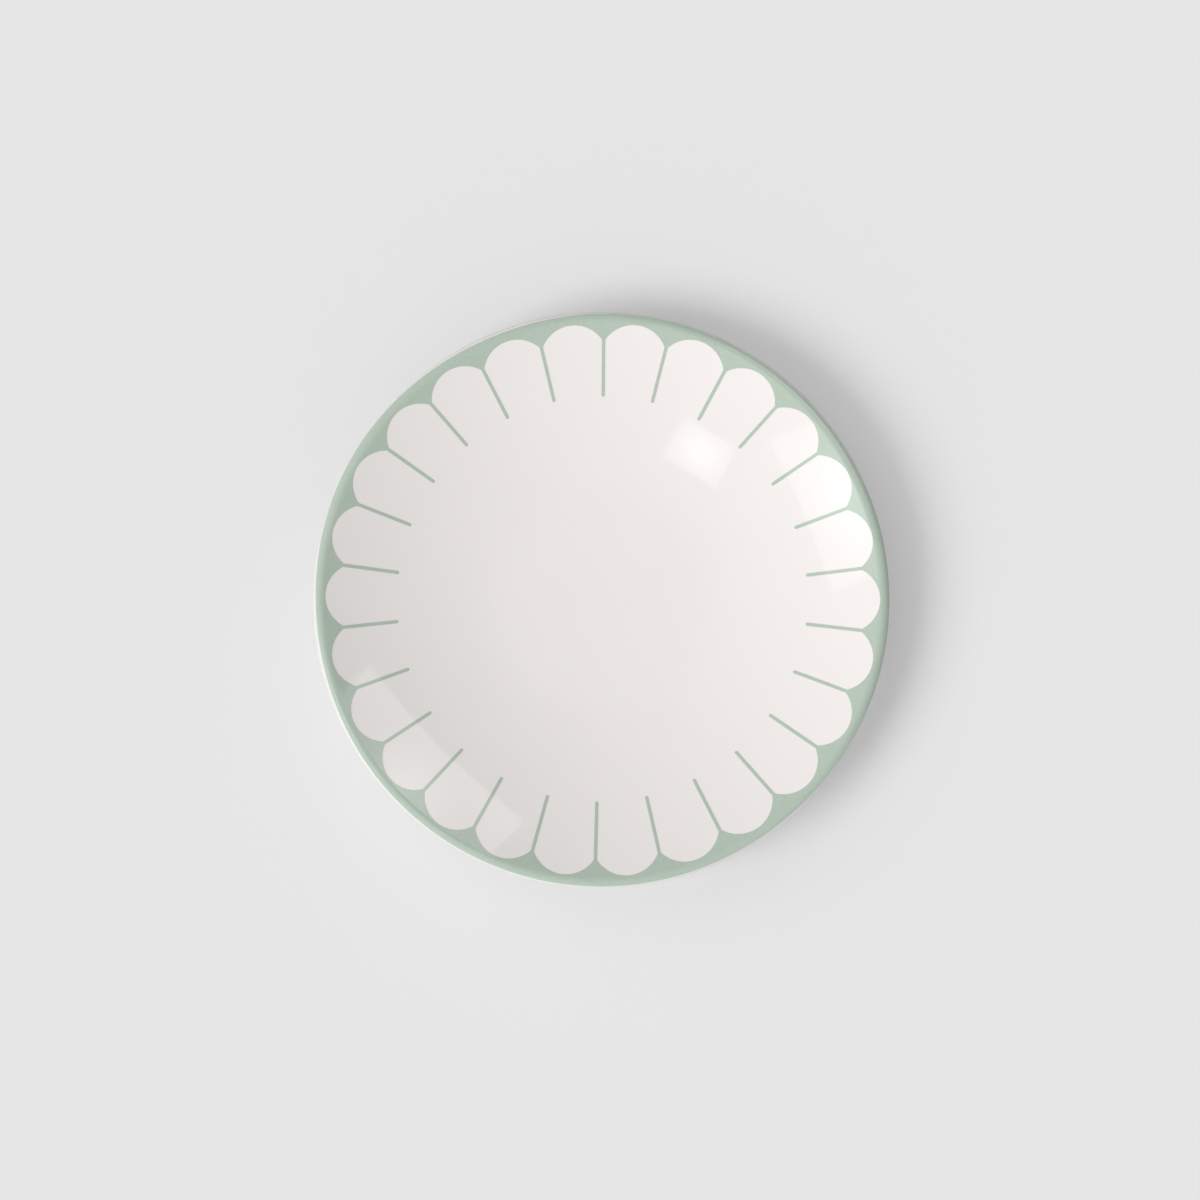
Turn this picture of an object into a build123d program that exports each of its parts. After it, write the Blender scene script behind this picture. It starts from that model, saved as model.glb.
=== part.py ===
from build123d import *
import math
import os

# Round coupe dessert plate of glazed porcelain, with a scalloped printed border.
# Sizes are in millimetres. +Z is up, and the origin is on the table under the plate's middle.

# Overall form
plate_diameter = 210.0  # across the rim
plate_height = 21.3  # from the table to the top of the rim
wall_thickness = 4.8  # finished wall, with the glaze on both sides
base_clearance = 2.7  # from the table to the underside in the middle

# Dished upper face, measured along the middle of the wall
well_radius = 34.5  # nearly flat middle
well_slope = 2.4  # rise in degrees at the edge of the well
shoulder_radius = 50.0  # where the bend out of the well has run into the wall
shoulder_slope = 7.4  # rise in degrees where the wall begins

# Rim, rolled over in a soft lip
lip_radius = 3.85  # over the top
lip_reach = 2.65  # from the rim's outermost edge in to its highest line
nose_radius = 1.2  # along the outermost edge

# Foot ring
foot_diameter = 116.0  # across the outside of the ring
foot_width = 4.6  # with the glaze on both sides
foot_root_fillet = 2.6  # where the ring runs into the underside
foot_edge_fillet = 0.9  # along both edges of the standing face
bare_height = 1.4  # lowest part of the ring, wiped free of glaze

# Coats
glaze_thickness = 0.3
print_thickness = 0.15

# Printed border
rim_margin = 0.7  # white edge outside the print, seen from above
band_width = 3.48  # colour between the print's outer edge and the petals' tips
border_depth = 29.64  # from the print's outer edge to the strokes' inner ends
petal_count = 26
petal_radius = 12.4
stroke_width = 1.24
print_angle = 6.3  # degrees from +X to the first stroke
print_shift = 0.2  # the transfer lies a little to the right of the plate's middle
drift_once = 0.63  # degrees that the unevenly stretched transfer drifts, once round the plate
drift_once_at = 33.0  # direction in which that drift is greatest
drift_twice = 0.48  # degrees that it drifts twice round the plate
drift_twice_at = -28.0
drift_thrice = 0.18  # degrees that it drifts three times round the plate
drift_thrice_at = -33.0
sway_once = 0.42  # outwards sway of the strokes' inner ends, once round the plate
sway_once_at = 92.0
sway_twice = 0.51  # twice round the plate
sway_twice_at = 11.5
sway_thrice = 0.21  # and three times round the plate
sway_thrice_at = 4.0


def sine(degrees):
    return math.sin(math.radians(degrees))


def cosine(degrees):
    return math.cos(math.radians(degrees))


def arc_from(start, start_slope, end_slope, radius):
    """Arc that rises outwards from a point: its centre, radius and slopes at both ends."""
    centre = start + Vector(-sine(start_slope), cosine(start_slope)) * radius
    return centre, radius, start_slope, end_slope


def arc_end(centre, radius, start_slope, end_slope):
    return centre + Vector(sine(end_slope), -cosine(end_slope)) * radius


# Middle line of the wall, in radius and height: three tangent arcs from the axis to the rim. The last
# one starts at the shoulder's slope and is as round as it must be for its upper face to meet the lip.
half_wall = wall_thickness / 2
rim_radius = plate_diameter / 2
well = arc_from(
    Vector(0, base_clearance + half_wall), 0, well_slope, well_radius / sine(well_slope)
)
shoulder = arc_from(
    arc_end(*well),
    well_slope,
    shoulder_slope,
    (shoulder_radius - well_radius) / (sine(shoulder_slope) - sine(well_slope)),
)
wall_start = arc_end(*shoulder)
wall_up = Vector(-sine(shoulder_slope), cosine(shoulder_slope))
lip_centre = Vector(rim_radius - lip_reach, plate_height - lip_radius)
to_lip = lip_centre - wall_start - wall_up * half_wall
face_radius = (to_lip.dot(to_lip) - lip_radius**2) / (2 * (lip_radius + wall_up.dot(to_lip)))
wall_radius = face_radius + half_wall
wall_centre = wall_start + wall_up * wall_radius
lip_slope = math.degrees(math.asin((lip_centre.X - wall_centre.X) / (face_radius + lip_radius)))
wall = arc_from(wall_start, shoulder_slope, lip_slope, wall_radius)

# Lip: its top arc runs into a tighter nose, and from there an arc leads under the rim to the back.
nose_turn = math.degrees(math.acos((lip_reach - nose_radius) / (lip_radius - nose_radius)))
nose_centre = lip_centre + Vector(cosine(nose_turn), sine(nose_turn)) * (lip_radius - nose_radius)
to_edge = Vector(rim_radius, nose_centre.Y) - wall_centre
back_radius = wall_radius + half_wall
under_radius = (back_radius**2 - to_edge.dot(to_edge)) / (2 * (back_radius - to_edge.X))
under_centre = Vector(rim_radius - under_radius, nose_centre.Y)
under_slope = math.degrees(math.asin((under_centre.X - wall_centre.X) / (back_radius - under_radius)))


def upper_line(depth):
    """Upper face at a depth under the finished surface, from the axis to the rim's outermost point."""
    half = half_wall - depth
    dished = [
        CenterArc(centre, radius - half, 270 + start, end - start)
        for centre, radius, start, end in (well, shoulder, wall)
    ]
    lip = CenterArc(lip_centre, lip_radius - depth, 90 + lip_slope, nose_turn - 90 - lip_slope)
    nose = CenterArc(nose_centre, nose_radius - depth, nose_turn, -nose_turn)
    return dished + [lip, nose]


def slope_at(reach, arc, offset):
    """Slope where a line parallel to an arc of the wall passes a given distance from the axis."""
    centre, radius = arc[:2]
    return math.degrees(math.asin((reach - centre.X) / (radius + offset)))


def section(depth):
    """Half section of the plate at a depth under its finished surface, down to the standing face."""
    half = half_wall - depth
    foot_outer = foot_diameter / 2 - depth
    foot_inner = foot_diameter / 2 - foot_width + depth
    back_slope = slope_at(foot_outer, wall, half)
    recess_slope = slope_at(foot_inner, well, half)
    upper = upper_line(depth)
    under = CenterArc(under_centre, under_radius - depth, 0, under_slope - 90)
    back = CenterArc(wall_centre, wall_radius + half, 270 + under_slope, back_slope - under_slope)
    recess = CenterArc(well[0], well[1] + half, 270 + recess_slope, -recess_slope)
    foot = Polyline(back @ 1, (foot_outer, 0), (foot_inner, 0), recess @ 0)
    middle = Line(recess @ 1, upper[0] @ 0)
    face = make_face(upper + [under, back, foot, recess, middle])
    roots = [face.vertices().sort_by_distance(end)[0] for end in (back @ 1, recess @ 0)]
    return fillet(roots, foot_root_fillet + depth)


def turned(face):
    """Solid turned about the plate's axis from a half section."""
    return revolve(Plane.XZ * face, Axis.Z)


# Fired body: everything under the glaze, on a bare foot ring with rounded edges
body_section = section(glaze_thickness)
standing_edges = body_section.vertices().sort_by(Axis.Y)[:2]
body_section = fillet(standing_edges, foot_edge_fillet)
porcelain_body = turned(body_section)

# Glaze: the skin between the finished surface and the body, which the bare foot parts into two coats
bare_band = Pos(rim_radius, bare_height / 2) * Rectangle(plate_diameter, bare_height)
glaze_section = section(0) - body_section - bare_band
base_coat, outer_coat = glaze_section.faces().sort_by(SortBy.AREA)
clear_glaze = turned(outer_coat)
base_glaze = turned(base_coat)

# Print: a thin film on the glaze, cut to the border's outline as seen from above
film_under = upper_line(0)
film_top = upper_line(-print_thickness)
film_ends = [Line(film_under[0] @ 0, film_top[0] @ 0), Line(film_under[-1] @ 1, film_top[-1] @ 1)]
film = turned(make_face(film_under + film_top + film_ends))

print_radius = rim_radius - rim_margin
tip_radius = print_radius - band_width
pitch_radius = tip_radius - petal_radius
stroke_start = print_radius - border_depth


def even_angle(count):
    """Direction of a place in an even border, counted in petals from the first stroke."""
    return print_angle + count * 360 / petal_count


def around(count):
    """Turn about the axis to a place in the border as it drifted."""
    even = even_angle(count)
    once = drift_once * cosine(even - drift_once_at)
    twice = drift_twice * cosine(2 * (even - drift_twice_at))
    thrice = drift_thrice * cosine(3 * (even - drift_thrice_at))
    return Rot(Z=even + once + twice + thrice)


def stroke(count):
    """Stroke between two petals, as long as the sway of its inner end leaves it."""
    even = even_angle(count)
    once = sway_once * cosine(even - sway_once_at)
    twice = sway_twice * cosine(2 * (even - sway_twice_at))
    thrice = sway_thrice * cosine(3 * (even - sway_thrice_at))
    inner_end = stroke_start + once + twice + thrice
    return Pos((tip_radius + inner_end) / 2) * SlotOverall(tip_radius - inner_end, stroke_width)


petal = Pos(pitch_radius) * Circle(petal_radius)
petals = [around(count + 0.5) * petal for count in range(petal_count)]
strokes = [around(count) * stroke(count) for count in range(petal_count)]
border = Circle(print_radius) - Circle(pitch_radius) - petals + strokes
scallop_print = film & extrude(Pos(print_shift) * border, plate_height + wall_thickness)

pieces = {
    "porcelain_body": porcelain_body,
    "clear_glaze": clear_glaze,
    "base_glaze": base_glaze,
    "scallop_print": scallop_print,
}
os.makedirs("parts", exist_ok=True)
for name, piece in pieces.items():
    piece.label = name
    export_step(piece, f"parts/{name}.step")
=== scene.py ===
import math

import bpy
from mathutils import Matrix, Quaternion, Vector


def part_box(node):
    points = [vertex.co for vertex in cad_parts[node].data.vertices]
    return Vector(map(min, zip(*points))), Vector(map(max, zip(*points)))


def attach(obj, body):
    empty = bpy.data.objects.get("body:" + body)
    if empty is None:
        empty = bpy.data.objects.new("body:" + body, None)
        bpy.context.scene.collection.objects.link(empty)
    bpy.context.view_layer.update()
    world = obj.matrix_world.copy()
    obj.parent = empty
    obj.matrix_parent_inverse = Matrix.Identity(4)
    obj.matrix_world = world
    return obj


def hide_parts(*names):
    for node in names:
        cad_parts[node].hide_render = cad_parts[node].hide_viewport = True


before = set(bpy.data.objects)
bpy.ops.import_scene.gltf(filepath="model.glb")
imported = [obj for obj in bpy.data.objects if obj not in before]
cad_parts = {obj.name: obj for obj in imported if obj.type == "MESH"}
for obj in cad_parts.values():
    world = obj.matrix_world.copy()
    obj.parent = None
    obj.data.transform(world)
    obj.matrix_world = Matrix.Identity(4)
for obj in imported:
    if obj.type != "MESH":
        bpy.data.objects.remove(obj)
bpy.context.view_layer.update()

# Fired body
# The plate itself: a shallow dish of white porcelain, rolled to shape on a wheel and fired hard.
# Only its foot ring stays bare, wiped clean so that it doesn't stick to the kiln shelf.
mm = 0.001
glaze_thickness = 0.3 * mm
body_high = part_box("porcelain_body")[1]
rim_radius = body_high.x + glaze_thickness
plate_height = body_high.z + glaze_thickness
wall_thickness = 4.8 * mm
base_clearance = 2.7 * mm
well_radius = 34.5 * mm
well_slope = 2.4
shoulder_radius = 50.0 * mm
shoulder_slope = 7.4
lip_radius = 3.85 * mm
lip_reach = 2.65 * mm
nose_radius = 1.2 * mm
foot_width = 4.6 * mm
foot_inner_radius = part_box("base_glaze")[1].x - glaze_thickness
foot_outer_radius = foot_inner_radius + foot_width
foot_root_fillet = 2.6 * mm
foot_edge_fillet = 0.9 * mm
bare_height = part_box("base_glaze")[0].z
bare_colour = (0.72, 0.68, 0.63)
bare_dark = (0.66, 0.61, 0.55)
bare_light = (0.75, 0.71, 0.66)
bare_roughness = 0.8
bare_cloud = 2.5 * mm
grain_size = 0.25 * mm
grain_detail = 3.0
grain_strength = 0.6
grain_depth = 0.05 * mm

# How finely the piece is cut up: round the plate, and along each curve of its half section
turn_segments = 288
well_steps, shoulder_steps, wall_steps = 14, 10, 28
lip_steps, nose_steps, under_steps = 22, 8, 12
back_steps, root_steps, recess_steps, foot_edge_steps = 22, 10, 16, 6
sharp_angle = 50  # edges that fold by more degrees than this stay crisp
weld = 0.001 * mm  # points closer than this become one

# Noise: the roughness of a hand-wiped edge, and the range in which most of a noise's values lie
waver_scale, waver_detail = 5.0, 3.0
noise_low, noise_high = 0.3, 0.7


def sine(degrees):
    return math.sin(math.radians(degrees))


def cosine(degrees):
    return math.cos(math.radians(degrees))


def arc(centre, radius, start, sweep, steps):
    """Points along an arc of the plate's half section. Angles are in degrees from the outward direction."""
    angles = [start + sweep * step / steps for step in range(steps + 1)]
    return [centre + Vector((cosine(a), 0, sine(a))) * radius for a in angles]


def rising_arc(start, start_slope, end_slope, radius):
    """Arc of the wall's middle line that rises outwards from a point: centre, radius and both slopes."""
    centre = start + Vector((-sine(start_slope), 0, cosine(start_slope))) * radius
    return centre, radius, start_slope, end_slope


def arc_end(centre, radius, start_slope, end_slope):
    return centre + Vector((sine(end_slope), 0, -cosine(end_slope))) * radius


half_wall = wall_thickness / 2
well = rising_arc(Vector((0, 0, base_clearance + half_wall)), 0, well_slope, well_radius / sine(well_slope))
shoulder_bend = (shoulder_radius - well_radius) / (sine(shoulder_slope) - sine(well_slope))
shoulder = rising_arc(arc_end(*well), well_slope, shoulder_slope, shoulder_bend)
wall_up = Vector((-sine(shoulder_slope), 0, cosine(shoulder_slope)))
lip_centre = Vector((rim_radius - lip_reach, 0, plate_height - lip_radius))
to_lip = lip_centre - arc_end(*shoulder) - wall_up * half_wall
face_radius = (to_lip.length_squared - lip_radius**2) / (2 * (lip_radius + wall_up.dot(to_lip)))
wall_radius = face_radius + half_wall
wall_centre = arc_end(*shoulder) + wall_up * wall_radius
lip_slope = math.degrees(math.asin((lip_centre.x - wall_centre.x) / (face_radius + lip_radius)))
wall = rising_arc(arc_end(*shoulder), shoulder_slope, lip_slope, wall_radius)
nose_turn = math.degrees(math.acos((lip_reach - nose_radius) / (lip_radius - nose_radius)))
nose_centre = lip_centre + Vector((cosine(nose_turn), 0, sine(nose_turn))) * (lip_radius - nose_radius)
to_edge = Vector((rim_radius, 0, nose_centre.z)) - wall_centre
back_radius = wall_radius + half_wall
under_radius = (back_radius**2 - to_edge.length_squared) / (2 * (back_radius - to_edge.x))
under_centre = Vector((rim_radius - under_radius, 0, nose_centre.z))
under_slope = math.degrees(math.asin((under_centre.x - wall_centre.x) / (back_radius - under_radius)))


def face_line(depth):
    """Upper face from the axis out and round the rim, at a depth under the finished surface."""
    half = half_wall - depth
    points = []
    dished = ((well, well_steps), (shoulder, shoulder_steps), (wall, wall_steps))
    for (centre, radius, start, end), steps in dished:
        points += arc(centre, radius - half, 270 + start, end - start, steps)[:-1]
    points += arc(lip_centre, lip_radius - depth, 90 + lip_slope, nose_turn - 90 - lip_slope, lip_steps)[:-1]
    points += arc(nose_centre, nose_radius - depth, nose_turn, -nose_turn, nose_steps)[:-1]
    return points + arc(under_centre, under_radius - depth, 0, under_slope - 90, under_steps)


def root_fillet(side, facing, centre, radius, fillet):
    """Fillet between a side of the foot ring and the curve over it: its centre and its end's direction."""
    reach = side + facing * fillet
    middle = Vector((reach, 0, centre.z - math.sqrt((radius + fillet) ** 2 - (reach - centre.x) ** 2)))
    return middle, 180 + math.degrees(math.atan2(centre.z - middle.z, centre.x - middle.x))


def back_line(depth):
    """Back from the rim in to the outer side of the foot ring."""
    radius = back_radius - depth
    fillet = foot_root_fillet + depth
    middle, touch = root_fillet(foot_outer_radius - depth, 1, wall_centre, radius, fillet)
    back = arc(wall_centre, radius, 270 + under_slope, touch - 270 - under_slope, back_steps)
    return back[1:-1] + arc(middle, fillet, touch - 180, 360 - touch, root_steps)


def recess_line(depth):
    """Recess from the inner side of the foot ring in to the axis."""
    radius = well[1] + half_wall - depth
    fillet = foot_root_fillet + depth
    middle, touch = root_fillet(foot_inner_radius + depth, -1, well[0], radius, fillet)
    recess = arc(well[0], radius, touch, 270 - touch, recess_steps)
    return arc(middle, fillet, 0, touch - 180, root_steps) + recess[1:]


def foot_edge(reach, facing):
    """Rounded edge of the bare standing face, on its outer or inner side."""
    middle = Vector((reach - facing * foot_edge_fillet, 0, foot_edge_fillet))
    return arc(middle, foot_edge_fillet, 0 if facing > 0 else 270, -90, foot_edge_steps)


def add_node(tree, kind, inputs=(), **settings):
    """Adds a node, with its settings, and fills its input sockets by name or place from links or values."""
    node = tree.nodes.new(kind)
    for name, value in settings.items():
        setattr(node, name, value)
    for key, value in dict(inputs).items():
        if isinstance(value, bpy.types.NodeSocket):
            tree.links.new(value, node.inputs[key])
        else:
            node.inputs[key].default_value = value
    return node


def calc(tree, operation, *values):
    """Result of a maths node that is fed, in order, from links or values."""
    return add_node(tree, "ShaderNodeMath", enumerate(values), operation=operation).outputs[0]


def vector_calc(tree, operation, *values, scale=None):
    """Result of a vector maths node: a number for a length or a dot product, and otherwise a vector."""
    inputs = dict(enumerate(values))
    if scale is not None:
        inputs["Scale"] = scale
    node = add_node(tree, "ShaderNodeVectorMath", inputs, operation=operation)
    return node.outputs["Value" if operation in ("LENGTH", "DOT_PRODUCT") else "Vector"]


def open_tree(name, kind, inputs, outputs):
    """New node group with named sockets: the tree and its input and output nodes."""
    tree = bpy.data.node_groups.new(name, kind)
    for label, (socket, value) in inputs.items():
        made = tree.interface.new_socket(label, in_out="INPUT", socket_type=socket)
        if value is not None:
            made.default_value = value
    for label, socket in outputs.items():
        tree.interface.new_socket(label, in_out="OUTPUT", socket_type=socket)
    return tree, tree.nodes.new("NodeGroupInput"), tree.nodes.new("NodeGroupOutput")


def finish_tree(tree, end, geometry, material):
    """Smooths the faces, keeps edges over the sharp angle crisp, and closes a geometry tree."""
    smooth = add_node(tree, "GeometryNodeSetShadeSmooth", {"Geometry": geometry, "Shade Smooth": True})
    angle = add_node(tree, "GeometryNodeInputMeshEdgeAngle")
    sharp = calc(tree, "GREATER_THAN", angle.outputs[0], math.radians(sharp_angle))
    crisp = add_node(
        tree,
        "GeometryNodeSetShadeSmooth",
        {"Geometry": smooth.outputs[0], "Selection": sharp, "Shade Smooth": False},
        domain="EDGE",
    )
    real = add_node(tree, "GeometryNodeRealizeInstances", {"Geometry": crisp.outputs[0]})
    finish = add_node(tree, "GeometryNodeSetMaterial", {"Geometry": real.outputs[0], "Material": material})
    tree.links.new(finish.outputs[0], end.inputs[0])


def wheel_turning():
    """Geometry tree that turns a half section about the plate's axis, with a hand-wiped waver where asked."""
    tree, start, end = open_tree(
        "wheel_turning",
        "GeometryNodeTree",
        {
            "Section": ("NodeSocketGeometry", None),
            "Segments": ("NodeSocketInt", turn_segments),
            "Waver": ("NodeSocketFloat", 0.0),
            "Waver Seed": ("NodeSocketFloat", 0.0),
            "Finish": ("NodeSocketMaterial", None),
        },
        {"Piece": "NodeSocketGeometry"},
    )
    section, segments = start.outputs["Section"], start.outputs["Segments"]
    count = add_node(tree, "GeometryNodeAttributeDomainSize", {"Geometry": section}).outputs["Point Count"]
    columns = add_node(tree, "FunctionNodeIntegerMath", {0: segments, 1: 1}, operation="ADD").outputs[0]
    grid = add_node(tree, "GeometryNodeMeshGrid", {"Vertices X": columns, "Vertices Y": count})
    index = add_node(tree, "GeometryNodeInputIndex").outputs[0]
    column = add_node(tree, "FunctionNodeIntegerMath", {0: index, 1: count}, operation="DIVIDE").outputs[0]
    row = add_node(tree, "FunctionNodeIntegerMath", {0: index, 1: count}, operation="MODULO").outputs[0]
    step = calc(tree, "DIVIDE", 2 * math.pi, segments)
    angle = calc(tree, "MULTIPLY", column, step)
    position = add_node(tree, "GeometryNodeInputPosition").outputs[0]
    place = add_node(
        tree,
        "GeometryNodeSampleIndex",
        {"Geometry": section, "Value": position, "Index": row},
        data_type="FLOAT_VECTOR",
    ).outputs[0]
    loose = add_node(tree, "GeometryNodeInputNamedAttribute", {"Name": "waver"}).outputs[0]
    share = add_node(
        tree, "GeometryNodeSampleIndex", {"Geometry": section, "Value": loose, "Index": row}
    ).outputs[0]
    turned = add_node(
        tree, "ShaderNodeVectorRotate", {"Vector": place, "Angle": angle}, rotation_type="Z_AXIS"
    ).outputs[0]
    around = add_node(
        tree, "ShaderNodeVectorRotate", {"Vector": (1, 0, 0), "Angle": angle}, rotation_type="Z_AXIS"
    ).outputs[0]
    noise = add_node(
        tree,
        "ShaderNodeTexNoise",
        {
            "Vector": around,
            "W": start.outputs["Waver Seed"],
            "Scale": waver_scale,
            "Detail": waver_detail,
        },
        noise_dimensions="4D",
    ).outputs[0]
    centred = calc(tree, "SUBTRACT", noise, 0.5)
    shaken = calc(tree, "MULTIPLY", centred, share)
    lift = calc(tree, "MULTIPLY", shaken, start.outputs["Waver"])
    offset = add_node(tree, "ShaderNodeCombineXYZ", {"Z": lift}).outputs[0]
    laid = add_node(
        tree, "GeometryNodeSetPosition", {"Geometry": grid.outputs[0], "Position": turned, "Offset": offset}
    )
    closed = add_node(tree, "GeometryNodeMergeByDistance", {"Geometry": laid.outputs[0], "Distance": weld})
    finish_tree(tree, end, closed.outputs[0], start.outputs["Finish"])
    return tree


def run_tree(name, mesh, tree, values):
    """New object made by a geometry tree from a starting mesh, kept as a plain mesh."""
    piece = bpy.data.objects.new(name, mesh)
    bpy.context.scene.collection.objects.link(piece)
    modifier = piece.modifiers.new(tree.name, "NODES")
    modifier.node_group = tree
    for item in tree.interface.items_tree:
        if item.in_out == "INPUT" and item.name in values:
            modifier[item.identifier] = values[item.name]
    depsgraph = bpy.context.evaluated_depsgraph_get()
    made = bpy.data.meshes.new_from_object(piece.evaluated_get(depsgraph), depsgraph=depsgraph)
    piece.modifiers.remove(modifier)
    piece.data = made
    made.name = name
    bpy.data.meshes.remove(mesh)
    return piece


def turned_piece(name, outline, material, bead=(), waver=0.0, seed=0.0):
    """Piece turned from an outline. The points of its bead, if it has one, waver up and down a little."""
    mesh = bpy.data.meshes.new(name)
    mesh.from_pydata(outline, [(i, i + 1) for i in range(len(outline) - 1)], [])
    share = mesh.attributes.new("waver", "FLOAT", "POINT")
    share.data.foreach_set("value", [1.0 if point in bead else 0.0 for point in outline])
    values = {"Segments": turn_segments, "Waver": waver, "Waver Seed": seed, "Finish": material}
    return run_tree(name, mesh, turning, values)


def new_material(name, base_color, roughness):
    """Material with one Principled shader: the material, its tree and the shader."""
    material = bpy.data.materials.new(name)
    material.use_nodes = True
    shader = material.node_tree.nodes["Principled BSDF"]
    shader.inputs["Base Color"].default_value = (*base_color, 1)
    shader.inputs["Roughness"].default_value = roughness
    return material, material.node_tree, shader


def fired_colour(tree, dark, light, size, detail=4.0):
    """Cloudy mix of two close colours, with clouds of about the given size."""
    place = add_node(tree, "ShaderNodeTexCoord").outputs["Object"]
    noise = add_node(tree, "ShaderNodeTexNoise", {"Vector": place, "Scale": 1 / size, "Detail": detail})
    ramp = add_node(tree, "ShaderNodeValToRGB", {"Fac": noise.outputs[0]})
    for element, position, colour in zip(ramp.color_ramp.elements, (noise_low, noise_high), (dark, light)):
        element.position = position
        element.color = (*colour, 1)
    return ramp.outputs["Color"]


def bare_porcelain():
    """Unglazed fired porcelain: matt, slightly warm, with a fine sandy grain."""
    material, tree, shader = new_material("bare_porcelain", bare_colour, bare_roughness)
    colour = fired_colour(tree, bare_dark, bare_light, bare_cloud)
    tree.links.new(colour, shader.inputs["Base Color"])
    place = add_node(tree, "ShaderNodeTexCoord").outputs["Object"]
    grain = add_node(
        tree, "ShaderNodeTexNoise", {"Vector": place, "Scale": 1 / grain_size, "Detail": grain_detail}
    )
    bump = add_node(
        tree,
        "ShaderNodeBump",
        {"Height": grain.outputs[0], "Strength": grain_strength, "Distance": grain_depth},
    )
    tree.links.new(bump.outputs[0], shader.inputs["Normal"])
    return material


turning = wheel_turning()
glazed_side = face_line(glaze_thickness) + back_line(glaze_thickness)
standing_face = foot_edge(foot_outer_radius - glaze_thickness, 1)
standing_face += foot_edge(foot_inner_radius + glaze_thickness, -1)
body_outline = glazed_side + standing_face + recess_line(glaze_thickness)
fired_body = turned_piece("fired_body", body_outline, bare_porcelain())
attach(fired_body, "root")
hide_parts("porcelain_body")

# Clear glaze over the face, the rim and the back
# A glassy coat a third of a millimetre thick, dipped on and melted in the kiln. It ends in a rolled
# bead a little above the table, where a sponge has wiped it off the foot ring by hand.
glaze_white = (0.825, 0.787, 0.765)
glaze_roughness = 0.035
glaze_shade = 0.99  # where it lies a little thicker
glaze_cloud = 28 * mm
glaze_wave_depth = 0.003 * mm
bead_waver = 0.5 * mm
bead_steps = 5

# Painted shade over the rim's edge: the white is drawn greyer between these radii, where shade falls on it
shaded_rim_white = (0.70, 0.70, 0.69)
shaded_rim_from = rim_radius - 1.3 * mm
shaded_rim_to = rim_radius - 0.7 * mm


def glaze_bead(reach, facing):
    """Rolled lower edge of the glaze on the outer or inner side of the foot ring."""
    middle = Vector((reach - facing * glaze_thickness, 0, bare_height + glaze_thickness))
    return arc(middle, glaze_thickness, 0 if facing > 0 else 270, -90, bead_steps)


def glassy_surface():
    """Shared effect of fired glaze: slow waves, finer dimples, and a gloss that varies a little."""
    tree, start, end = open_tree(
        "glassy_surface",
        "ShaderNodeTree",
        {
            "Wave Size": ("NodeSocketFloat", 7 * mm),
            "Dimple Size": ("NodeSocketFloat", 1.4 * mm),
            "Dimple Share": ("NodeSocketFloat", 0.15),
            "Smooth": ("NodeSocketFloat", 0.03),
            "Rough": ("NodeSocketFloat", 0.04),
        },
        {"Height": "NodeSocketFloat", "Roughness": "NodeSocketFloat"},
    )
    place = add_node(tree, "ShaderNodeTexCoord").outputs["Object"]
    layers = []
    for size, detail in (("Wave Size", 1.0), ("Dimple Size", 2.0)):
        scale = calc(tree, "DIVIDE", 1.0, start.outputs[size])
        noise = add_node(tree, "ShaderNodeTexNoise", {"Vector": place, "Scale": scale, "Detail": detail})
        layers.append(noise.outputs[0])
    waves, dimples = layers
    height = calc(tree, "MULTIPLY_ADD", dimples, start.outputs["Dimple Share"], waves)
    gloss = add_node(
        tree,
        "ShaderNodeMapRange",
        {
            "Value": waves,
            "From Min": noise_low,
            "From Max": noise_high,
            "To Min": start.outputs["Smooth"],
            "To Max": start.outputs["Rough"],
        },
    )
    tree.links.new(height, end.inputs["Height"])
    tree.links.new(gloss.outputs[0], end.inputs["Roughness"])
    return tree


def glassy_finish(tree, shader):
    """Gives a shader the shared surface of fired glaze."""
    surface = add_node(tree, "ShaderNodeGroup", node_tree=glassy)
    bump = add_node(
        tree, "ShaderNodeBump", {"Height": surface.outputs["Height"], "Distance": glaze_wave_depth}
    )
    tree.links.new(surface.outputs["Roughness"], shader.inputs["Roughness"])
    tree.links.new(bump.outputs[0], shader.inputs["Normal"])


def white_glaze():
    """Glossy white glaze over white porcelain, slightly cloudy, with painted shade along the rim's edge."""
    material, tree, shader = new_material("white_glaze", glaze_white, glaze_roughness)
    thick = tuple(channel * glaze_shade for channel in glaze_white)
    cloudy = fired_colour(tree, thick, glaze_white, glaze_cloud)
    place = add_node(tree, "ShaderNodeTexCoord").outputs["Object"]
    level = vector_calc(tree, "MULTIPLY", place, (1, 1, 0))
    reach = vector_calc(tree, "LENGTH", level)
    # Painted shade: towards the rim's edge the white is mixed to a greyer tone
    thin = add_node(
        tree, "ShaderNodeMapRange", {"Value": reach, "From Min": shaded_rim_from, "From Max": shaded_rim_to}
    ).outputs[0]
    colours = {0: thin, 6: cloudy, 7: (*shaded_rim_white, 1)}
    colour = add_node(tree, "ShaderNodeMix", colours, data_type="RGBA").outputs[2]
    tree.links.new(colour, shader.inputs["Base Color"])
    glassy_finish(tree, shader)
    return material


glassy = glassy_surface()
glazed_white = white_glaze()
outer_bead = glaze_bead(foot_outer_radius, 1)
glaze_outline = face_line(0) + back_line(0) + outer_bead + glazed_side[::-1]
glazed_plate = turned_piece("glazed_plate", glaze_outline, glazed_white, outer_bead, bead_waver, seed=1.0)
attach(glazed_plate, "root")
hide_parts("clear_glaze")

# Glaze inside the foot ring
# The same coat on the underside, parted from the rest by the wiped foot ring.
inner_bead = glaze_bead(foot_inner_radius, -1)
base_outline = recess_line(glaze_thickness)[::-1] + inner_bead + recess_line(0)
glazed_base = turned_piece("glazed_base", base_outline, glazed_white, inner_bead, bead_waver, seed=2.0)
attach(glazed_base, "root")
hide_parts("base_glaze")

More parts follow.
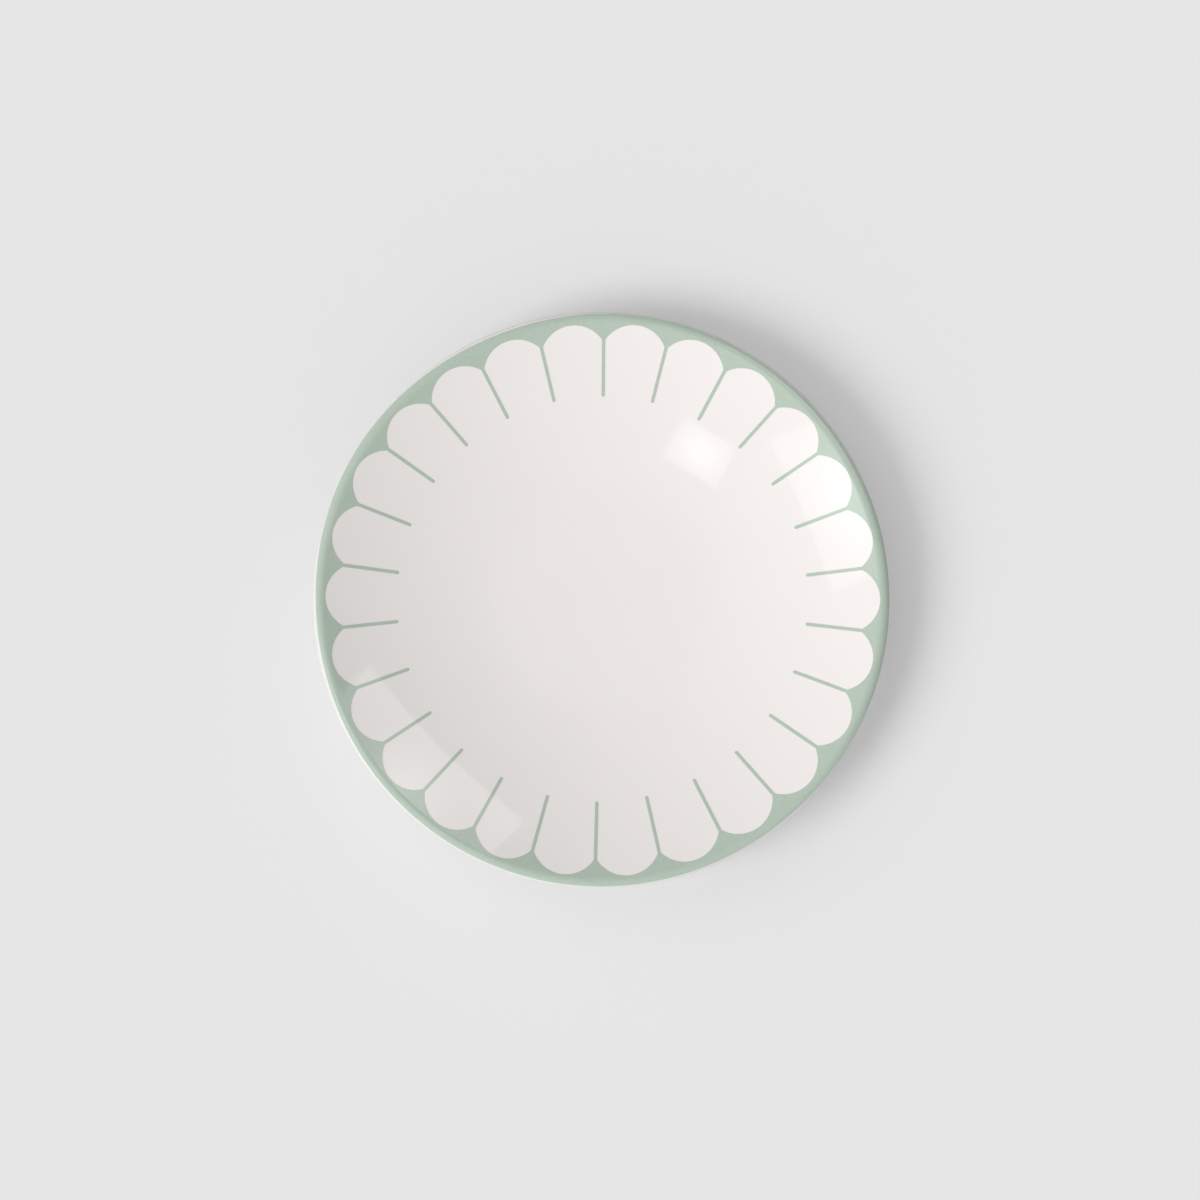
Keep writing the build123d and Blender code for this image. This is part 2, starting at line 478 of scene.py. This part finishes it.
# Scalloped border
# One printed transfer in sage green, slid onto the glaze wet and fired in. A band with petal-shaped
# openings, and a fine stroke that runs inwards from each point between two petals.
print_green = (0.428, 0.514, 0.433)
ink_spread = 0.03  # share by which the ink is thinner or thicker in places
ink_cloud = 1.2 * mm
ink_detail = 6.0
print_thickness = 0.06 * mm
print_sink = 0.03 * mm  # how deep its underside is bedded in the glaze
print_radius = rim_radius - 0.7 * mm
print_limit = rim_radius - 0.12 * mm  # what would sway out past this is trimmed
band_width = 3.48 * mm
border_depth = 29.64 * mm
petal_count = 26
petal_radius = 12.4 * mm
stroke_width = 1.24 * mm
print_angle = 6.3
print_shift = (0.2 * mm, 0, 0)
unit_weld = 0.005 * mm  # the seams between the repeated units close up within this
drop_height, drop_length = 2 * plate_height, 3 * plate_height  # of the fall onto the glaze

# The transfer was laid by hand, so it drifts along the rim, and its edge and the strokes' ends sway in and
# out. Each is a sum of waves: how often one comes round the plate, its size, and the angle of its peak.
unevenness = {
    "Drift": {1: (math.radians(0.63), 33), 2: (math.radians(0.48), -28), 3: (math.radians(0.18), -33)},
    "Edge Sway": {
        2: (0.19 * mm, -5),
        3: (0.17 * mm, 11),
        4: (0.22 * mm, -17),
        5: (0.18 * mm, 6),
        6: (0.06 * mm, 27),
    },
    "End Sway": {1: (0.42 * mm, 92), 2: (0.51 * mm, 11.5), 3: (0.21 * mm, 4)},
}
wave_values = {}
for label, swings in unevenness.items():
    for times, (size, at) in swings.items():
        wave_values[f"{label} {times}"] = size
        wave_values[f"{label} {times} At"] = math.radians(at)


def border_unit():
    """Plan of one stroke along +X, with the half scallop on each side of it, as a mesh of neat rows."""
    half_pitch = 180 / petal_count
    half_stroke = stroke_width / 2
    pitch_radius = print_radius - band_width - petal_radius
    petal = Vector((pitch_radius * cosine(half_pitch), pitch_radius * sine(half_pitch), 0))
    cusp_reach = petal.x + math.sqrt(petal_radius**2 - (petal.y - half_stroke) ** 2)
    stroke_start = print_radius - border_depth
    cusp_angle = math.degrees(math.atan2(half_stroke - petal.y, cusp_reach - petal.x))
    edge_angle = math.degrees(math.asin(half_stroke / print_radius))
    columns, rows, stroke_rows, end_rows = 16, 16, 18, 6
    crowding = 1.7
    vertices, faces = [], []

    def sheet(points):
        """Adds a grid of points, given column by column, with its faces."""
        first, tall = len(vertices), len(points[0])
        vertices.extend(point for column in points for point in column)
        for i in range(len(points) - 1):
            for j in range(tall - 1):
                a = first + i * tall + j
                faces.append((a, a + 1, a + tall + 1, a + tall))

    def ease(step):
        """Rows crowd together towards the rim, where the surface turns over."""
        return 1 - (1 - step / rows) ** crowding

    def row_points(inner, outer):
        return [inner.lerp(outer, ease(step)) for step in range(rows + 1)]

    for side in (1, -1):
        wing = []
        for i in range(columns + 1):
            share = i / columns
            turn = cusp_angle + (half_pitch - cusp_angle) * share
            swing = edge_angle + (half_pitch - edge_angle) * share
            inner = petal + Vector((cosine(turn), sine(turn), 0)) * petal_radius
            outer = Vector((cosine(swing), sine(swing), 0)) * print_radius
            wing.append(row_points(*(Vector((p.x, side * p.y, 0)) for p in (inner, outer))))
        sheet(wing[::side])

    def across(reach, half):
        return [Vector((reach, y, 0)) for y in (-half, 0, half)]

    outer_reach = print_radius * cosine(edge_angle)
    inner_ends = across(cusp_reach, half_stroke)
    outer_ends = across(outer_reach, half_stroke)
    outer_ends[1] = Vector((print_radius, 0, 0))
    sheet([row_points(inner, outer) for inner, outer in zip(inner_ends, outer_ends)])
    end_middle = stroke_start + half_stroke
    lengths = [cusp_reach + (end_middle - cusp_reach) * step / stroke_rows for step in range(stroke_rows + 1)]
    stroke = [across(reach, half_stroke) for reach in lengths]
    for step in range(1, end_rows + 1):
        turn = 90 * step / end_rows
        stroke.append(across(end_middle - half_stroke * sine(turn), half_stroke * cosine(turn)))
    sheet(stroke)
    mesh = bpy.data.meshes.new("border_unit")
    mesh.from_pydata(vertices, [], faces)
    return mesh


def transfer_printing():
    """Geometry tree that repeats the border's unit in a ring and lays it on the glaze as a thin film."""
    tree, start, end = open_tree(
        "transfer_printing",
        "GeometryNodeTree",
        {
            "Unit": ("NodeSocketGeometry", None),
            "Count": ("NodeSocketInt", petal_count),
            "First Angle": ("NodeSocketFloat", 0.0),
            **{label: ("NodeSocketFloat", 0.0) for label in wave_values},
            "Shift": ("NodeSocketVector", None),
            "Limit": ("NodeSocketFloat", 0.0),
            "Outer Edge": ("NodeSocketFloat", 0.0),
            "Tips": ("NodeSocketFloat", 0.0),
            "Stroke Ends": ("NodeSocketFloat", 0.0),
            "Glaze": ("NodeSocketObject", None),
            "Film": ("NodeSocketFloat", print_thickness),
            "Sink": ("NodeSocketFloat", print_sink),
            "Finish": ("NodeSocketMaterial", None),
        },
        {"Piece": "NodeSocketGeometry"},
    )
    count = start.outputs["Count"]
    spots = add_node(tree, "GeometryNodeMeshLine", {"Count": count, "Offset": (0, 0, 0)})
    index = add_node(tree, "GeometryNodeInputIndex").outputs[0]
    step = calc(tree, "DIVIDE", 2 * math.pi, count)
    angle = calc(tree, "MULTIPLY_ADD", index, step, start.outputs["First Angle"])
    turn = add_node(tree, "ShaderNodeCombineXYZ", {"Z": angle}).outputs[0]
    ring = add_node(
        tree,
        "GeometryNodeInstanceOnPoints",
        {"Points": spots.outputs[0], "Instance": start.outputs["Unit"], "Rotation": turn},
    )
    real = add_node(tree, "GeometryNodeRealizeInstances", {"Geometry": ring.outputs[0]})
    joined = add_node(
        tree, "GeometryNodeMergeByDistance", {"Geometry": real.outputs[0], "Distance": unit_weld}
    )
    plan = add_node(tree, "GeometryNodeInputPosition").outputs[0]
    spread = add_node(tree, "ShaderNodeSeparateXYZ", {0: plan}).outputs
    around = calc(tree, "ARCTAN2", spread["Y"], spread["X"])

    def waves(label):
        """Sum of the waves round the plate that make up one unevenness."""
        total = 0.0
        for times in unevenness[label]:
            at = start.outputs[f"{label} {times} At"]
            since = calc(tree, "SUBTRACT", around, at)
            phase = calc(tree, "MULTIPLY", since, times)
            swing = calc(tree, "COSINE", phase)
            size = start.outputs[f"{label} {times}"]
            total = calc(tree, "MULTIPLY_ADD", swing, size, total)
        return total

    shift, tips, edge = (start.outputs[label] for label in ("Shift", "Tips", "Outer Edge"))
    reach = vector_calc(tree, "LENGTH", plan)
    outwards = vector_calc(tree, "NORMALIZE", plan)
    edge_sway = waves("Edge Sway")
    sway = add_node(
        tree,
        "ShaderNodeMapRange",
        {
            "Value": reach,
            "From Min": tips,
            "From Max": start.outputs["Stroke Ends"],
            "To Min": edge_sway,
            "To Max": waves("End Sway"),
        },
    ).outputs[0]
    aside = vector_calc(tree, "DOT_PRODUCT", outwards, shift)
    outermost = calc(tree, "ADD", calc(tree, "ADD", edge, edge_sway), aside)
    over = calc(tree, "MAXIMUM", calc(tree, "SUBTRACT", outermost, start.outputs["Limit"]), 0.0)
    trim = add_node(
        tree, "ShaderNodeMapRange", {"Value": reach, "From Min": tips, "From Max": edge, "To Max": over}
    ).outputs[0]
    trimmed = calc(tree, "SUBTRACT", sway, trim)
    moved = vector_calc(tree, "SCALE", outwards, scale=trimmed)
    swayed = vector_calc(tree, "ADD", plan, moved)
    drifted = add_node(
        tree, "ShaderNodeVectorRotate", {"Vector": swayed, "Angle": waves("Drift")}, rotation_type="Z_AXIS"
    ).outputs[0]
    shifted = add_node(
        tree,
        "GeometryNodeSetPosition",
        {"Geometry": joined.outputs[0], "Position": drifted, "Offset": shift},
    )
    glaze = add_node(
        tree, "GeometryNodeObjectInfo", {"Object": start.outputs["Glaze"]}, transform_space="RELATIVE"
    )
    above = vector_calc(tree, "ADD", plan, (0, 0, drop_height))
    drop = add_node(
        tree,
        "GeometryNodeRaycast",
        {
            "Target Geometry": glaze.outputs["Geometry"],
            "Source Position": above,
            "Ray Direction": (0, 0, -1),
            "Ray Length": drop_length,
        },
    )
    laid = add_node(
        tree,
        "GeometryNodeSetPosition",
        {"Geometry": shifted.outputs[0], "Position": drop.outputs["Hit Position"]},
    )
    normal = add_node(tree, "GeometryNodeInputNormal").outputs[0]
    down = calc(tree, "MULTIPLY", start.outputs["Sink"], -1.0)
    under = vector_calc(tree, "SCALE", normal, scale=down)
    seated = add_node(tree, "GeometryNodeSetPosition", {"Geometry": laid.outputs[0], "Offset": under})
    depth = calc(tree, "ADD", start.outputs["Film"], start.outputs["Sink"])
    film = add_node(
        tree,
        "GeometryNodeExtrudeMesh",
        {"Mesh": seated.outputs[0], "Offset Scale": depth, "Individual": False},
    )
    underside = add_node(tree, "GeometryNodeFlipFaces", {"Mesh": seated.outputs[0]})
    both = add_node(tree, "GeometryNodeJoinGeometry", {"Geometry": film.outputs["Mesh"]})
    tree.links.new(underside.outputs[0], both.inputs[0])
    closed = add_node(tree, "GeometryNodeMergeByDistance", {"Geometry": both.outputs[0], "Distance": weld})
    finish_tree(tree, end, closed.outputs[0], start.outputs["Finish"])
    return tree


def sage_print():
    """Ceramic colour fired into the glaze: as glossy as the white, with a faint unevenness of the ink."""
    material, tree, shader = new_material("sage_print", print_green, glaze_roughness)
    thin = tuple(channel * (1 + ink_spread) for channel in print_green)
    thick = tuple(channel * (1 - ink_spread) for channel in print_green)
    tree.links.new(fired_colour(tree, thick, thin, ink_cloud, ink_detail), shader.inputs["Base Color"])
    glassy_finish(tree, shader)
    return material


print_values = {
    "Count": petal_count,
    "First Angle": math.radians(print_angle),
    **wave_values,
    "Shift": print_shift,
    "Limit": print_limit,
    "Outer Edge": print_radius,
    "Tips": print_radius - band_width,
    "Stroke Ends": print_radius - border_depth,
    "Glaze": glazed_plate,
    "Film": print_thickness,
    "Sink": print_sink,
    "Finish": sage_print(),
}
scallop_border = run_tree("scallop_border", border_unit(), transfer_printing(), print_values)
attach(scallop_border, "root")
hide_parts("scallop_print")

# Table
# A plain pale grey sheet that runs on to the horizon. About a third of what the camera sees of it is its
# own even tone, so it stays pale under the soft shadow.
table_grey = (0.79, 0.79, 0.79)
table_reach = 6.0
even_share = 0.32


def seen_directly(tree):
    """1 where the camera, a mirror image or a view through glass looks at the surface, and otherwise 0."""
    path = add_node(tree, "ShaderNodeLightPath")
    direct = path.outputs["Is Camera Ray"]
    for kind in ("Is Glossy Ray", "Is Transmission Ray"):
        direct = calc(tree, "MAXIMUM", direct, path.outputs[kind])
    return direct


def table_sheet():
    """Matt pale grey that is lit by the lamps, mixed with an even share of its own tone."""
    material = bpy.data.materials.new("table_sheet")
    material.use_nodes = True
    tree = material.node_tree
    tree.nodes.clear()
    lit = add_node(tree, "ShaderNodeBsdfDiffuse", {"Color": (*table_grey, 1)})
    even = add_node(tree, "ShaderNodeEmission", {"Color": (*table_grey, 1)})
    share = calc(tree, "MULTIPLY", seen_directly(tree), even_share)
    mix = add_node(tree, "ShaderNodeMixShader", {0: share, 1: lit.outputs[0], 2: even.outputs[0]})
    out = tree.nodes.new("ShaderNodeOutputMaterial")
    tree.links.new(mix.outputs[0], out.inputs["Surface"])
    return material


table_mesh = bpy.data.meshes.new("table")
corners = [(x * table_reach, y * table_reach, 0) for x, y in ((-1, -1), (1, -1), (1, 1), (-1, 1))]
table_mesh.from_pydata(corners, [], [(0, 1, 2, 3)])
table_mesh.materials.append(table_sheet())
table = bpy.data.objects.new("table", table_mesh)
bpy.context.scene.collection.objects.link(table)

# Studio light
# A soft key from the left gives the shading and the shadow. A weaker lamp stands behind at the upper left,
# and the surround is brighter towards the front. Three soft panels hang where the glaze mirrors them.
key_share = 0.425
back_share = 0.125
surround = 0.45
bright_side = 262
panel_distance = 2.0


def direction(azimuth, polar):
    """Unit vector towards a place in the room: azimuth from the right, polar angle from straight up."""
    return Vector((sine(polar) * cosine(azimuth), sine(polar) * sine(azimuth), cosine(polar)))


def aimed(name, lamp, azimuth, polar, roll=0):
    """Lamp hung in a direction from the plate, facing it, with its width level or rolled by some degrees."""
    holder = bpy.data.objects.new(name, lamp)
    bpy.context.scene.collection.objects.link(holder)
    towards = direction(azimuth, polar)
    holder.location = towards * panel_distance
    holder.rotation_mode = "QUATERNION"
    holder.rotation_quaternion = towards.to_track_quat("Z", "Y") @ Quaternion((0, 0, 1), math.radians(roll))
    return holder


def far_lamp(name, azimuth, polar, spread, share):
    """Far lamp of a given angular width that gives the table a share of its light, and isn't mirrored."""
    lamp = bpy.data.lights.new(name, "SUN")
    lamp.angle = math.radians(spread)
    lamp.energy = share * math.pi / cosine(polar)
    aimed(name, lamp, azimuth, polar).visible_glossy = False


def panel(name, azimuth, polar, wide, tall, edge, core, core_reach, roll=0):
    """Soft panel, wide and tall in degrees, only there to be mirrored, that glows most in its middle."""
    lamp = bpy.data.lights.new(name, "AREA")
    lamp.shape = "RECTANGLE"
    lamp.size = 2 * panel_distance * math.tan(math.radians(wide / 2))
    lamp.size_y = 2 * panel_distance * math.tan(math.radians(tall / 2))
    lamp.energy = math.pi * lamp.size * lamp.size_y
    lamp.use_nodes = True
    tree = lamp.node_tree
    spot = add_node(tree, "ShaderNodeNewGeometry").outputs["Parametric"]
    middle = vector_calc(tree, "SUBTRACT", spot, (0.5, 0.5, 0))
    place = vector_calc(tree, "MULTIPLY", middle, (lamp.size, lamp.size_y, 0))
    reach = vector_calc(tree, "LENGTH", place)
    glow = add_node(
        tree,
        "ShaderNodeMapRange",
        {"Value": reach, "From Max": core_reach, "To Min": core, "To Max": edge},
        interpolation_type="SMOOTHSTEP",
    )
    tree.links.new(glow.outputs[0], tree.nodes["Emission"].inputs["Strength"])
    holder = aimed(name, lamp, azimuth, polar, roll)
    holder.visible_camera = False
    holder.visible_diffuse = False


far_lamp("key", azimuth=201.5, polar=49.5, spread=32, share=key_share)
far_lamp("back", azimuth=126.5, polar=51, spread=46, share=back_share)
panel(
    "small_panel", azimuth=236.4, polar=15.85, roll=3.5,
    wide=5.4, tall=5.4, edge=1.5, core=3.4, core_reach=0.1,
)
panel(
    "left_panel", azimuth=202.65, polar=27.9,
    wide=15.8, tall=14, edge=1.2, core=3.1, core_reach=0.28,
)
panel(
    "right_panel", azimuth=43.3, polar=27.65, roll=2,
    wide=21.1, tall=14, edge=1.55, core=3.75, core_reach=0.25,
)

room = bpy.data.worlds.new("room")
bpy.context.scene.world = room
room.use_nodes = True
room_tree = room.node_tree
room_tree.nodes.clear()
seen = add_node(room_tree, "ShaderNodeBackground", {"Color": (*table_grey, 1)})
ray = add_node(room_tree, "ShaderNodeTexCoord").outputs["Generated"]
side = vector_calc(room_tree, "DOT_PRODUCT", ray, direction(bright_side, 90))
strength = calc(room_tree, "MULTIPLY_ADD", side, surround, surround)
glow = add_node(room_tree, "ShaderNodeBackground", {"Color": (1, 1, 1, 1), "Strength": strength})
looks = {0: seen_directly(room_tree), 1: glow.outputs[0], 2: seen.outputs[0]}
room_mix = add_node(room_tree, "ShaderNodeMixShader", looks)
room_out = room_tree.nodes.new("ShaderNodeOutputWorld")
room_tree.links.new(room_mix.outputs[0], room_out.inputs["Surface"])

# Camera
# Straight above the plate, as the photograph was taken, framed so that the rim fills the same circle.
frame_pixels = 1200
rim_pixels = 288.0
centre_pixels = (601.3, 600.15)
camera_height = 1.1
metres_per_pixel = rim_radius / rim_pixels
lens = bpy.data.cameras.new("camera")
camera = bpy.data.objects.new("camera", lens)
bpy.context.scene.collection.objects.link(camera)
camera.location = (
    (frame_pixels / 2 - centre_pixels[0]) * metres_per_pixel,
    (centre_pixels[1] - frame_pixels / 2) * metres_per_pixel,
    nose_centre.z + camera_height,
)
lens.sensor_width = 36
lens.lens = lens.sensor_width * camera_height / (frame_pixels * metres_per_pixel)
bpy.context.scene.camera = camera
bpy.context.scene.view_settings.view_transform = "Standard"
